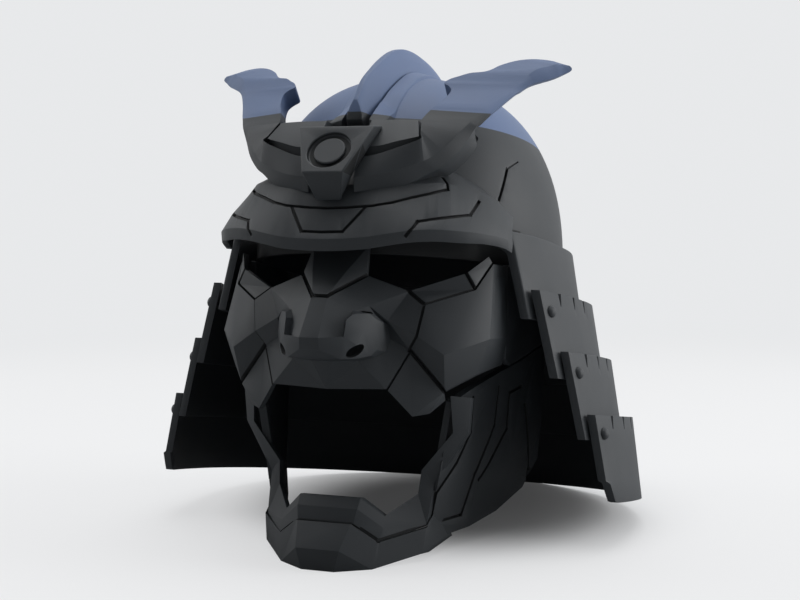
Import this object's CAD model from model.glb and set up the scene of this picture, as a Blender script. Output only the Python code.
"""Looks of a printed, faceted samurai helmet with its face mask.

The helmet stands leaning back on its chin and on the rear rim of its neck guard. Its own upright
frame, in which its print layers are level, is used for every drawn path and table here: the wearer
faces -Y, +X is the wearer's left, and z = 0 is the chin's lowest edge. Every finished piece is
placed in the resting frame of the solids.
"""
import logging
import math
from dataclasses import dataclass, field
from enum import Enum
from typing import Iterable, Sequence, Union

import bmesh
import bpy
from mathutils import Matrix, Vector
from mathutils.bvhtree import BVHTree


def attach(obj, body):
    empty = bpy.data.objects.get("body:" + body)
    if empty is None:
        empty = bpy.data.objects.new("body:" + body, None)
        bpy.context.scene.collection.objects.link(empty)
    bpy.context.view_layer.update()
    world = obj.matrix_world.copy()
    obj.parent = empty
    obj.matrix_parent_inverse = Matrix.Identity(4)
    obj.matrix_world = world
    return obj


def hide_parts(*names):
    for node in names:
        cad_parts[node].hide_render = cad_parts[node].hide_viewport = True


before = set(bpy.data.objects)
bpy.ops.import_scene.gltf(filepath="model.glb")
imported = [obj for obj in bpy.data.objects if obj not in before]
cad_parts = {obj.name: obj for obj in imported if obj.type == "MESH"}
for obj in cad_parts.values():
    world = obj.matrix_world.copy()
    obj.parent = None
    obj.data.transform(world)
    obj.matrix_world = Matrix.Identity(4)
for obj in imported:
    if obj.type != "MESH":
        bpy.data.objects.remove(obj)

LOG = logging.getLogger("helmet")
BODY = "root"

SIDES = ((1.0, "left"), (-1.0, "right"))

Triple = tuple[float, float, float]
Colour = tuple[float, float, float, float]
Path = tuple[Triple, ...]


class Tone(Enum):
    """The print's two colours, by the name of their slot in the record."""

    CHARCOAL = "charcoal_print"
    SLATE = "slate_blue_print"


@dataclass(frozen=True)
class Rest:
    """How the upright helmet leans when it stands on its chin and rear rim.

    Lengths are in metres and the lean is in radians.
    """

    lean: float = 0.168468
    shift_y: float = -0.0791029
    shift_z: float = -0.0115787

    def matrix(self) -> Matrix:
        """The transform from the upright frame to the resting one."""
        return (Matrix.Translation((0.0, self.shift_y, self.shift_z))
                @ Matrix.Rotation(-self.lean, 4, "X"))

    def place(self, point: Triple) -> Vector:
        """Places a point given upright, in millimetres.

        Args:
            point: x, y and z in the upright frame, in millimetres.

        Returns:
            The same point at rest, in metres.
        """
        return self.matrix() @ (Vector(point) * 0.001)

    def turn(self, direction: Triple) -> Vector:
        """Turns an upright direction into the resting frame."""
        return self.matrix().to_3x3() @ Vector(direction)

    def stand(self, point: Triple) -> Vector:
        """Places a point as place does, and lifts it to the floor where it would sink in."""
        place = self.place(point)
        return Vector((place.x, place.y, max(place.z, 0.0)))


REST = Rest()


class Sock:
    """A node socket on which Python's operators add Math nodes."""

    def __init__(self, tree: "Nodes", socket: bpy.types.NodeSocket | None) -> None:
        """Wraps one output socket of a tree, or none for a node that only receives."""
        self.tree = tree
        self.socket = socket

    def _math(self, operation: str, *values: "Value") -> "Sock":
        """Adds one Math node and returns its result."""
        return self.tree.add("ShaderNodeMath", {"operation": operation}, dict(enumerate(values)))

    def __add__(self, other: "Value") -> "Sock":
        """Sum."""
        return self._math("ADD", self, other)

    __radd__ = __add__

    def __sub__(self, other: "Value") -> "Sock":
        """Difference."""
        return self._math("SUBTRACT", self, other)

    def __rsub__(self, other: "Value") -> "Sock":
        """Difference from a number."""
        return self._math("SUBTRACT", other, self)

    def __mul__(self, other: "Value") -> "Sock":
        """Product."""
        return self._math("MULTIPLY", self, other)

    __rmul__ = __mul__

    def __truediv__(self, other: "Value") -> "Sock":
        """Quotient."""
        return self._math("DIVIDE", self, other)

    def __gt__(self, other: "Value") -> "Sock":
        """One where this is greater, and zero elsewhere."""
        return self._math("GREATER_THAN", self, other)

    def __pow__(self, other: "Value") -> "Sock":
        """Power."""
        return self._math("POWER", self, other)

    def sine(self) -> "Sock":
        """Sine of an angle in radians."""
        return self._math("SINE", self)

    def between(self, low: float, high: float) -> "Sock":
        """Runs smoothly from zero at low to one at high.

        Args:
            low: Value at and under which the result is zero.
            high: Value at and over which the result is one.

        Returns:
            The smooth step.
        """
        return self.tree.add("ShaderNodeMapRange", {"interpolation_type": "SMOOTHSTEP"},
                             {"Value": self, "From Min": low, "From Max": high})


Value = Union[Sock, float]


class Nodes:
    """Builds a material's node tree."""

    def __init__(self, tree: bpy.types.NodeTree) -> None:
        """Starts on an emptied tree."""
        self.tree = tree
        tree.nodes.clear()

    def add(self, kind: str, settings: dict[str, object] | None = None,
            values: dict[Union[str, int], object] | None = None, output: Union[str, int] = 0
            ) -> Sock:
        """Adds one node.

        Args:
            kind: The node's type name.
            settings: Its properties, which are set first.
            values: Values or links for its input sockets, by name or number.
            output: Which output socket to return.

        Returns:
            The wrapped output socket.
        """
        node = self.tree.nodes.new(kind)
        for name, setting in (settings or {}).items():
            setattr(node, name, setting)
        for name, value in (values or {}).items():
            if isinstance(value, Sock):
                self.tree.links.new(value.socket, node.inputs[name])
            else:
                node.inputs[name].default_value = value
        return Sock(self, node.outputs[output] if node.outputs else None)

    def mix(self, factor: Value, first: object, second: object) -> Sock:
        """Mixes two colours.

        Args:
            factor: Share of the second colour.
            first: Colour at zero, as a socket or four numbers.
            second: Colour at one, as a socket or four numbers.

        Returns:
            The mixed colour.
        """
        return self.add("ShaderNodeMix", {"data_type": "RGBA"},
                        {"Factor": factor, 6: first, 7: second}, output=2)


@dataclass(frozen=True)
class PrintFinish:
    """The matte filament of the helmet: charcoal, and slate blue over one level print layer.

    Lengths are in metres, colours are linear, and shares and tints run from zero to one.
    """

    charcoal: Colour = (0.0255, 0.0300, 0.0345, 1.0)
    slate: Colour = (0.105, 0.155, 0.280, 1.0)
    dust: Colour = (0.55, 0.60, 0.68, 1.0)
    shade: Colour = (0.0, 0.0, 0.0, 1.0)
    colour_change: float = 0.2923
    layer: float = 0.00045
    layer_depth: float = 0.00003
    layer_waver: float = 1.5
    layer_tint: float = 0.006
    grain_scale: float = 900.0
    grain_depth: float = 0.00006
    relief_strength: float = 0.55
    cloud_scale: float = 22.0
    cloud_share: float = 0.20
    worn_from: float = 0.35
    worn_to: float = 0.65
    worn_share: float = 0.03
    recess_share: float = 0.70
    roughness: float = 0.56
    cloud_roughness: float = 0.16
    recess_roughness: float = 0.15
    specular: float = 0.42

    def make(self, name: str) -> bpy.types.Material:
        """Makes the material, which changes colour at the print layer.

        Args:
            name: The material's name.

        Returns:
            The new material.
        """
        material = bpy.data.materials.new(name)
        material.use_nodes = True
        nodes = Nodes(material.node_tree)
        place = nodes.add("ShaderNodeTexCoord", output="Object")
        axes = [nodes.add("ShaderNodeSeparateXYZ", values={0: place}, output=i) for i in range(3)]
        upright = REST.matrix().inverted()
        height = axes[1] * upright[2][1] + axes[2] * upright[2][2] + upright[2][3]
        cloud = nodes.add("ShaderNodeTexNoise", values={
            "Vector": place, "Scale": self.cloud_scale, "Detail": 3.0, "Roughness": 0.55})
        grain = nodes.add("ShaderNodeTexNoise", values={
            "Vector": place, "Scale": self.grain_scale, "Detail": 2.0, "Roughness": 0.6})
        layers = (height * (math.tau / self.layer) + cloud * self.layer_waver).sine()
        wear = nodes.add("ShaderNodeAttribute", {"attribute_name": "worn"}, output="Fac")
        recess = nodes.add("ShaderNodeAttribute", {"attribute_name": "recess"}, output="Fac")
        colour = nodes.mix(height > self.colour_change, self.charcoal, self.slate)
        colour = nodes.mix((1.0 - cloud) * self.cloud_share, colour, self.shade)
        colour = nodes.mix(layers * self.layer_tint + self.layer_tint, colour, self.dust)
        worn = wear * cloud.between(self.worn_from, self.worn_to) * self.worn_share
        colour = nodes.mix(worn, colour, self.dust)
        colour = nodes.mix(recess * self.recess_share, colour, self.shade)
        relief = layers * self.layer_depth + grain * self.grain_depth
        bump = nodes.add("ShaderNodeBump", values={
            "Strength": self.relief_strength, "Distance": 1.0, "Height": relief})
        rough = (self.roughness + (cloud - 0.5) * self.cloud_roughness
                 + recess * self.recess_roughness)
        shader = nodes.add("ShaderNodeBsdfPrincipled", values={
            "Base Color": colour, "Roughness": rough, "Specular IOR Level": self.specular,
            "Normal": bump})
        nodes.add("ShaderNodeOutputMaterial", values={"Surface": shader})
        return material


@dataclass(frozen=True)
class Edges:
    """How a piece's edges are eased, in metres and degrees."""

    rim: float = 0.0009
    crease: float = 0.0005
    rim_angle: float = 52.0
    crease_angle: float = 20.0
    segments: int = 2


@dataclass(frozen=True)
class Groove:
    """A groove along a path near the surface, seen from the heart of the piece.

    The path and the heart are upright and in millimetres, and the other lengths are in metres. A
    joint keeps to its path, and only cuts pieces that it touches.
    """

    path: Path
    width: float = 0.0025
    depth: float = 0.0020
    step: float = 0.007
    heart: Triple = (0.0, 40.0, 190.0)
    joint: bool = False


@dataclass
class Workshop:
    """Turns solids and drawn tables into finished pieces.

    Lengths are in metres and angles in degrees. A groove is cut by bars that reach past both ends
    of each run. A cut that takes too little or too much of the piece is tried again, a little
    further on.
    """

    finish: PrintFinish
    weld: float = 0.00002
    flat_angle: float = 0.8
    probe: float = 0.03
    bar_top: float = 0.004
    bar_foot: float = 0.8
    bar_overrun: float = 0.45
    nudge: Triple = (3e-5, -2e-5, 4e-5)
    tries: int = 4
    least_cut: float = 0.01
    most_cut: float = 1.2
    count: int = 0
    split: bpy.types.Material = field(init=False)

    def __post_init__(self) -> None:
        """Makes the material that every piece shares."""
        self.split = self.finish.make("print_split")

    def link(self, name: str, mesh: bpy.types.Mesh) -> bpy.types.Object:
        """Links a new object with this mesh.

        Args:
            name: The object's name.
            mesh: Its mesh.

        Returns:
            The new object.
        """
        item = bpy.data.objects.new(name, mesh)
        bpy.context.scene.collection.objects.link(item)
        return item

    def mesh(self, name: str, points: Iterable[Vector], faces: Iterable[Sequence[int]]
             ) -> bpy.types.Mesh:
        """A mesh whose faces point outwards.

        Args:
            name: The mesh's name.
            points: Its corners, in the resting frame.
            faces: Corner numbers of each face.

        Returns:
            The new mesh.
        """
        made = bpy.data.meshes.new(name)
        made.from_pydata([tuple(p) for p in points], [], [tuple(f) for f in faces])
        work = bmesh.new()
        work.from_mesh(made)
        bmesh.ops.recalc_face_normals(work, faces=work.faces)
        work.to_mesh(made)
        work.free()
        return made

    def copy_of(self, node: str, name: str) -> bpy.types.Object:
        """A welded copy of a solid with its flat faces whole again.

        Args:
            node: The solid's name.
            name: The copy's name.

        Returns:
            The copy, as a new object.
        """
        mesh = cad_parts[node].data.copy()
        mesh.name = name
        mesh.materials.clear()
        work = bmesh.new()
        work.from_mesh(mesh)
        bmesh.ops.remove_doubles(work, verts=work.verts, dist=self.weld)
        bmesh.ops.dissolve_limit(work, angle_limit=math.radians(self.flat_angle),
                                 verts=work.verts, edges=work.edges)
        work.to_mesh(mesh)
        work.free()
        return self.link(name, mesh)

    def apply(self, item: bpy.types.Object) -> bpy.types.Object:
        """Bakes an object's modifiers into its mesh.

        Args:
            item: The object.

        Returns:
            The same object, with no modifiers.
        """
        graph = bpy.context.evaluated_depsgraph_get()
        baked = bpy.data.meshes.new_from_object(item.evaluated_get(graph),
                                                preserve_all_data_layers=True, depsgraph=graph)
        old = item.data
        item.modifiers.clear()
        item.data = baked
        baked.name = item.name
        bpy.data.meshes.remove(old)
        return item

    def groove_cutters(self, item: bpy.types.Object, groove: Groove, mirror: float
                       ) -> list[bpy.types.Object]:
        """Bars that follow a groove's straight runs over a piece's surface.

        Args:
            item: The piece to be cut.
            groove: The groove.
            mirror: 1 for the drawn side and -1 for the other.

        Returns:
            One cutter for each run.
        """
        bpy.context.view_layer.update()
        tree = BVHTree.FromObject(item, bpy.context.evaluated_depsgraph_get())
        drawn = [REST.place((mirror * x, y, z)) for x, y, z in groove.path]
        middle = REST.place(groove.heart)
        cutters = []
        for here, following in zip(drawn, drawn[1:]):
            run = (following - here).normalized()
            reach = self.bar_overrun * groove.width
            ends = (here - run * reach, following + run * reach)
            steps = max(1, round((ends[1] - ends[0]).length / groove.step))
            seats, facing = [], Vector((0.0, 0.0, 0.0))
            for step in range(steps + 1):
                point = ends[0].lerp(ends[1], step / steps)
                out = (point - middle).normalized()
                if groove.joint:
                    touched = tree.find_nearest(point, groove.width)[0]
                    seat, normal = (point, out) if touched else (None, None)
                else:
                    seat, normal, _, _ = tree.ray_cast(point + out * self.probe, -out,
                                                      2.0 * self.probe)
                if seat is not None:
                    seats.append(seat)
                    facing += normal
            if len(seats) < 2 and groove.joint:
                continue
            if len(seats) < 2:
                LOG.warning("%s: a groove run misses it near %s", item.name, tuple(here))
                continue
            facing.normalize()
            side = facing.cross(run).normalized()
            corners = ((-1.0, self.bar_top), (1.0, self.bar_top),
                       (self.bar_foot, -groove.depth), (-self.bar_foot, -groove.depth))
            rings = [[seat + side * (w * 0.5 * groove.width) + facing * h for w, h in corners]
                     for seat in seats]
            points = [p for ring in rings for p in ring]
            faces = [(0, 1, 2, 3), tuple(len(points) - 4 + i for i in (3, 2, 1, 0))]
            for ring in range(len(rings) - 1):
                for corner in range(4):
                    after = (corner + 1) % 4
                    faces.append((4 * ring + corner, 4 * ring + after,
                                  4 * ring + 4 + after, 4 * ring + 4 + corner))
            self.count += 1
            name = "cutter_%d" % self.count
            cutters.append(self.link(name, self.mesh(name, points, faces)))
        return cutters

    def carve(self, item: bpy.types.Object, cutters: Iterable[bpy.types.Object],
              overlapping: bool = False) -> None:
        """Cuts shapes out of a piece and marks the cut faces as recessed.

        Args:
            item: The piece.
            cutters: The shapes, which are removed after the cut.
            overlapping: Whether the piece's own walls may run through one another.
        """
        if not item.data.materials:
            item.data.materials.append(self.split)
        recess = self.recess_mark()
        for cutter in list(cutters):
            if not cutter.data.materials:
                cutter.data.materials.append(recess)
            whole, taken = self.volume(item.data), self.volume(cutter.data)
            kept = item.data.copy()
            for attempt in range(self.tries):
                cutter.data.transform(Matrix.Translation(Vector(self.nudge) * attempt))
                step = item.modifiers.new("carve", "BOOLEAN")
                step.operation = "DIFFERENCE"
                step.solver = "EXACT"
                step.use_self = overlapping
                step.material_mode = "TRANSFER"
                step.object = cutter
                self.apply(item)
                left = self.volume(item.data)
                if whole - self.most_cut * taken <= left <= whole - self.least_cut * taken:
                    break
                LOG.info("%s: %s is nudged and cut again", item.name, cutter.name)
                item.data = kept.copy()
            bpy.data.objects.remove(cutter)

    def engrave(self, item: bpy.types.Object, grooves: Iterable[Groove],
                mirrors: Sequence[float]) -> None:
        """Cuts grooves over a piece's surface.

        Args:
            item: The piece.
            grooves: The grooves, as drawn on the wearer's left.
            mirrors: 1 to cut them there, and -1 to cut them on the other side.
        """
        cutters = []
        for groove in grooves:
            for mirror in mirrors:
                cutters += self.groove_cutters(item, groove, mirror)
        self.carve(item, cutters)

    def tube(self, name: str, lines: Sequence[Sequence[Vector]]) -> bpy.types.Object:
        """A closed solid through lines of corners.

        Args:
            name: The object's name.
            lines: Its corners' lines in order round it, upright, each along the whole solid.

        Returns:
            The new object.
        """
        size, count = len(lines), len(lines[0])
        points = [REST.place(tuple(p)) for line in lines for p in line]
        faces: list[tuple[int, ...]] = []
        for line in range(size):
            k = (line + 1) % size
            faces += [(line * count + i, line * count + i + 1, k * count + i + 1, k * count + i)
                      for i in range(count - 1)]
        faces.append(tuple(line * count for line in range(size)))
        faces.append(tuple(line * count + count - 1 for line in reversed(range(size))))
        return self.link(name, self.mesh(name, points, faces))

    @staticmethod
    def recess_mark() -> bpy.types.Material:
        """The material that marks recessed faces until a piece is dressed."""
        return bpy.data.materials.get("recess_mark") or bpy.data.materials.new("recess_mark")

    @staticmethod
    def volume(mesh: bpy.types.Mesh) -> float:
        """The volume that a closed mesh holds.

        Args:
            mesh: The mesh.

        Returns:
            Its volume in cubic metres.
        """
        work = bmesh.new()
        work.from_mesh(mesh)
        held = work.calc_volume(signed=True)
        work.free()
        return held

    def ease(self, item: bpy.types.Object, edges: Edges) -> None:
        """Eases a piece's edges and marks the eased faces as worn.

        Args:
            item: The piece, whose extra material slots mark recessed faces.
            edges: Widths and angles.
        """
        work = bmesh.new()
        work.from_mesh(item.data)
        weight = work.edges.layers.float.new("bevel_weight_edge")
        for edge in work.edges:
            if len(edge.link_faces) != 2:
                continue
            angle = math.degrees(edge.calc_face_angle(0.0))
            if angle >= edges.rim_angle:
                edge[weight] = 1.0
            elif angle >= edges.crease_angle:
                edge[weight] = edges.crease / edges.rim
        work.to_mesh(item.data)
        work.free()
        while len(item.data.materials) < 2:
            item.data.materials.append(self.split)
        item.data.materials.append(self.split)
        bevel = item.modifiers.new("ease", "BEVEL")
        bevel.width = edges.rim
        bevel.segments = edges.segments
        bevel.limit_method = "WEIGHT"
        bevel.use_clamp_overlap = True
        bevel.loop_slide = True
        bevel.material = len(item.data.materials) - 1
        self.apply(item)

    def dress(self, item: bpy.types.Object, smooth_angle: float) -> None:
        """Gives a piece its material, with the marks of wear and recess as attributes.

        Args:
            item: The piece, whose last slot marks worn faces.
            smooth_angle: Edges flatter than this are shaded smooth, in degrees.
        """
        mesh = item.data
        slots = [m.name if m else "" for m in mesh.materials]
        marks = {"worn": [0.0] * len(mesh.polygons), "recess": [0.0] * len(mesh.polygons)}
        for face in mesh.polygons:
            slot = slots[face.material_index] if slots else ""
            if slot == "recess_mark":
                marks["recess"][face.index] = 1.0
            elif len(slots) > 2 and face.material_index == len(slots) - 1:
                marks["worn"][face.index] = 1.0
        for name, shares in marks.items():
            layer = mesh.attributes.new(name, "FLOAT", "FACE")
            layer.data.foreach_set("value", shares)
        mesh.materials.clear()
        mesh.materials.append(self.split)
        mesh.polygons.foreach_set("material_index", [0] * len(mesh.polygons))
        mesh.polygons.foreach_set("use_smooth", [True] * len(mesh.polygons))
        mesh.set_sharp_from_angle(angle=math.radians(smooth_angle))
        mesh.update()

    def hand_over(self, item: bpy.types.Object, *nodes: str, tone: Tone = Tone.CHARCOAL) -> None:
        """Sets a finished piece on the helmet's body in place of its solids.

        Args:
            item: The piece.
            nodes: The solids that it stands for.
            tone: Its slot.
        """
        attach(item, BODY)
        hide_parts(*nodes)
        LOG.info("%s: %d faces for %s", item.name, len(item.data.polygons), ", ".join(nodes))

    def complete(self, item: bpy.types.Object, node: str, edges: Edges, smooth_angle: float,
                 tone: Tone = Tone.CHARCOAL) -> bpy.types.Object:
        """Eases, dresses and hands over one piece.

        Args:
            item: The piece.
            node: The solid that it stands for.
            edges: How its edges are eased.
            smooth_angle: Edges flatter than this are shaded smooth, in degrees.
            tone: Its slot.

        Returns:
            The finished piece.
        """
        self.ease(item, edges)
        self.dress(item, smooth_angle)
        self.hand_over(item, node, tone=tone)
        return item


@dataclass
class Plates:
    """Flat-faced plates that keep their solid's shape, with eased edges and carved grooves.

    The centre plate's round seat behind the medallion is darker. Its sizes are in metres.
    """

    shop: Workshop
    edges: Edges = field(default_factory=Edges)
    smooth_angle: float = 24.0
    seat_plate: str = "crest_plate"
    seat_radius: float = 0.021
    seat_drop: float = 0.001
    seat_depth: float = 0.008
    level_share: float = 0.95

    def shade_recess(self, item: bpy.types.Object) -> None:
        """Marks the round seat behind the medallion as recessed.

        Args:
            item: The centre plate.
        """
        boss = self.shop.copy_of("medallion", "medallion_place")
        middle = sum((v.co for v in boss.data.vertices), Vector()) / len(boss.data.vertices)
        out = max(boss.data.polygons, key=lambda face: face.area * (face.normal.y < 0.0)).normal
        out = out.copy()
        bpy.data.objects.remove(boss)
        fronts = [face for face in item.data.polygons if face.normal.dot(out) > self.level_share]
        top = max((face.center - middle).dot(out) for face in fronts)
        item.data.materials.append(self.shop.recess_mark())
        last = len(item.data.materials) - 1
        for face in item.data.polygons:
            drop = top - (face.center - middle).dot(out)
            inside = (face.center - middle).length < self.seat_radius
            if inside and self.seat_drop < drop < self.seat_depth:
                face.material_index = last

    def build(self, node: str, grooves: Sequence[Groove] = (), mirror: float = 1.0
              ) -> bpy.types.Object:
        """Builds one plate.

        Args:
            node: The solid's name.
            grooves: Grooves over its surface.
            mirror: -1 for a solid on the helmet's other side.

        Returns:
            The finished piece.
        """
        item = self.shop.copy_of(node, node + "_shell")
        one_sided = node.endswith(tuple("_" + word for _, word in SIDES))
        self.shop.engrave(item, grooves, (mirror,) if one_sided else (mirror, -mirror))
        if node == self.seat_plate:
            self.shade_recess(item)
        return self.shop.complete(item, node, self.edges, self.smooth_angle)


def oval(angle: float, half_width: float, half_length: float, centre_y: float, power: float
         ) -> tuple[float, float]:
    """A point of a superellipse.

    Args:
        angle: Zero at the front, and a quarter turn at +X.
        half_width: Half its width.
        half_length: Half its length.
        centre_y: The middle's y.
        power: Two for an ellipse, and more for squarer corners.

    Returns:
        x and y.
    """
    sine, cosine = math.sin(angle), math.cos(angle)
    return (half_width * math.copysign(abs(sine) ** (2.0 / power), sine),
            centre_y - half_length * math.copysign(abs(cosine) ** (2.0 / power), cosine))


def smooth_line(points: Sequence[Vector], parts: int) -> list[Vector]:
    """A smooth line through points.

    Args:
        points: The points.
        parts: How many steps each stretch gets.

    Returns:
        The line's points, which hold the given ones.
    """
    made = []
    for i in range(len(points) - 1):
        before = points[i - 1] if i else points[0] * 2.0 - points[1]
        here, following = points[i], points[i + 1]
        after = points[i + 2] if i + 2 < len(points) else following * 2.0 - here
        for part in range(parts):
            t = part / parts
            made.append(0.5 * (2.0 * here + (following - before) * t
                               + (2.0 * before - 5.0 * here + 4.0 * following - after) * t * t
                               + (3.0 * here - before - 3.0 * following + after) * t ** 3))
    made.append(points[-1].copy())
    return made


@dataclass
class Bowl:
    """The dome, with its side slits and the shaded part of its front under the visor.

    Lengths are in millimetres, upright.
    """

    shop: Workshop
    half_width: float = 105.5
    half_length: float = 127.0
    centre_y: float = 70.5
    rim_z: float = 200.0
    rise: float = 138.0
    wall: float = 4.0
    plan_power: float = 2.15
    profile_power: float = 2.4
    shaded_front: float = 12.0
    shaded_top: float = 222.0
    segments: int = 144
    rings: int = 36
    slits: tuple[Groove, ...] = (
        Groove(((86.0, 9.0, 265.0), (86.0, -4.0, 243.0)), width=0.0026, depth=0.0024),
        Groove(((86.0, 9.0, 265.0), (89.5, 24.0, 273.0)), width=0.0012, depth=0.0012),
    )

    def shell(self, inset: float) -> list[list[Vector]]:
        """Rings of the dome, up to its crown.

        Args:
            inset: How far they are moved inwards.

        Returns:
            The rings at rest, of which the last is a single point.
        """
        rings = []
        for level in range(self.rings):
            turn = 0.5 * math.pi * level / self.rings
            rise = math.sin(turn)
            share = max(1.0 - rise ** self.profile_power, 0.0) ** (1.0 / self.profile_power)
            ring = []
            for step in range(self.segments):
                x, y = oval(math.tau * step / self.segments, self.half_width * share - inset,
                            self.half_length * share - inset, self.centre_y, self.plan_power)
                ring.append(REST.place((x, y, self.rim_z + (self.rise - inset) * rise)))
            rings.append(ring)
        rings.append([REST.place((0.0, self.centre_y, self.rim_z + self.rise - inset))])
        return rings

    def shade_front(self, item: bpy.types.Object) -> None:
        """Marks the bowl's front under the visor as recessed.

        Args:
            item: The bowl.
        """
        upright = REST.matrix().inverted()
        item.data.materials.append(self.shop.recess_mark())
        last = len(item.data.materials) - 1
        for face in item.data.polygons:
            place = (upright @ face.center) * 1000.0
            if place.y < self.shaded_front and place.z < self.shaded_top:
                face.material_index = last

    def build(self) -> bpy.types.Object:
        """Builds the dome with its inner wall.

        Returns:
            The finished piece.
        """
        points: list[Vector] = []
        faces: list[tuple[int, ...]] = []
        for inset in (0.0, self.wall):
            rings = self.shell(inset)
            base = len(points)
            points += [p for ring in rings for p in ring]
            for level in range(self.rings - 1):
                for step in range(self.segments):
                    k = (step + 1) % self.segments
                    low, high = base + level * self.segments, base + (level + 1) * self.segments
                    faces.append((low + step, low + k, high + k, high + step))
            top = base + (self.rings - 1) * self.segments
            faces += [(top + step, top + (step + 1) % self.segments, top + self.segments)
                      for step in range(self.segments)]
        inner = len(points) // 2
        faces += [(step, (step + 1) % self.segments, inner + (step + 1) % self.segments,
                   inner + step) for step in range(self.segments)]
        item = self.shop.link("bowl_shell", self.shop.mesh("bowl_shell", points, faces))
        self.shop.engrave(item, self.slits, (1.0, -1.0))
        self.shade_front(item)
        edges = Edges(rim=0.0006, crease=0.0004, crease_angle=30.0)
        return self.shop.complete(item, "bowl", edges, smooth_angle=40.0, tone=Tone.SLATE)


@dataclass
class Visor:
    """The flared brow band. Its columns are shares of its half width, front and rise."""

    shop: Workshop
    half_width: float = 101.6
    front: float = 96.0
    lip_z: float = 196.5
    rise: float = 65.5
    wall: float = 4.0
    parts: int = 6
    columns: tuple[Path, ...] = (
        ((0.000, -1.000, 0.000), (0.000, -1.022, 0.110), (0.000, -0.925, 0.405),
         (0.000, -0.833, 0.665), (0.000, -0.540, 1.000)),
        ((0.250, -0.980, 0.022), (0.250, -1.002, 0.132), (0.236, -0.918, 0.420),
         (0.220, -0.823, 0.680), (0.180, -0.520, 1.000)),
        ((0.400, -0.942, 0.066), (0.403, -0.963, 0.176), (0.390, -0.890, 0.415),
         (0.375, -0.770, 0.695), (0.310, -0.470, 0.985)),
        ((0.535, -0.885, 0.110), (0.540, -0.906, 0.220), (0.560, -0.845, 0.340),
         (0.535, -0.700, 0.710), (0.440, -0.400, 0.970)),
        ((0.665, -0.802, 0.137), (0.672, -0.820, 0.247), (0.690, -0.750, 0.380),
         (0.630, -0.605, 0.735), (0.560, -0.310, 0.950)),
        ((0.790, -0.688, 0.145), (0.802, -0.700, 0.255), (0.808, -0.575, 0.440),
         (0.745, -0.420, 0.720), (0.680, -0.200, 0.870)),
        ((0.900, -0.530, 0.165), (0.910, -0.530, 0.260), (0.900, -0.410, 0.450),
         (0.845, -0.270, 0.680), (0.790, -0.100, 0.745)),
        ((0.970, -0.370, 0.160), (0.980, -0.365, 0.250), (0.955, -0.290, 0.420),
         (0.905, -0.150, 0.600), (0.850, 0.010, 0.630)),
        ((1.000, -0.250, 0.133), (1.000, -0.240, 0.220), (0.985, -0.215, 0.370),
         (0.945, -0.060, 0.520), (0.900, 0.100, 0.530)),
    )
    grooves: tuple[Groove, ...] = (
        Groove(((24.6, -87.9, 224.6), (13.8, -95.4, 208.8), (0.0, -96.0, 208.4)),
               heart=(0.0, 0.0, 210.0)),
        Groove(((0.0, -88.2, 224.4), (12.2, -88.0, 224.7), (29.0, -86.3, 226.1),
                (40.1, -81.9, 228.8), (49.6, -75.8, 232.6), (59.8, -68.2, 236.4),
                (67.6, -56.9, 240.8), (60.0, -48.0, 249.0)), heart=(0.0, 0.0, 220.0)),
        Groove(((52.5, -87.3, 207.8), (57.6, -81.9, 217.2), (70.9, -71.5, 220.9),
                (82.5, -54.9, 225.0), (83.2, -39.5, 236.0)), heart=(0.0, 0.0, 210.0)),
    )

    def build(self) -> bpy.types.Object:
        """Builds the band round the brow, with its lip and its grooves.

        Returns:
            The finished piece.
        """
        right = [[Vector((x * self.half_width, y * self.front, self.lip_z + z * self.rise))
                  for x, y, z in column] for column in self.columns]
        left = [[Vector((-p.x, p.y, p.z)) for p in column] for column in reversed(right[1:])]
        outer = [smooth_line(row, self.parts) for row in zip(*(left + right))]
        count = len(outer[0])
        inner = []
        for level, row in enumerate(outer):
            made = []
            for step, point in enumerate(row):
                round_way = outer[level][min(step + 1, count - 1)] - row[max(step - 1, 0)]
                up_way = (outer[min(level + 1, len(outer) - 1)][step]
                          - outer[max(level - 1, 0)][step])
                made.append(point + up_way.cross(round_way).normalized() * self.wall)
            inner.append(made)
        points = [REST.place(tuple(p)) for layer in (outer, inner) for row in layer for p in row]
        levels, half = len(outer), len(outer) * count
        faces = []
        for level in range(levels - 1):
            for step in range(count - 1):
                low, high = level * count + step, (level + 1) * count + step
                faces += [(low, low + 1, high + 1, high),
                          (half + high, half + high + 1, half + low + 1, half + low)]
        for step in range(count - 1):
            top = (levels - 1) * count + step
            faces += [(step + 1, step, half + step, half + step + 1),
                      (top, top + 1, half + top + 1, half + top)]
        for level in range(levels - 1):
            low, high = level * count, (level + 1) * count
            end_low, end_high = low + count - 1, high + count - 1
            faces += [(low, high, half + high, half + low),
                      (end_high, end_low, half + end_low, half + end_high)]
        item = self.shop.link("visor_shell", self.shop.mesh("visor_shell", points, faces))
        self.shop.engrave(item, self.grooves, (1.0, -1.0))
        edges = Edges(rim=0.0009, crease=0.0008, crease_angle=22.0)
        return self.shop.complete(item, "visor", edges, smooth_angle=32.0)


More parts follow.
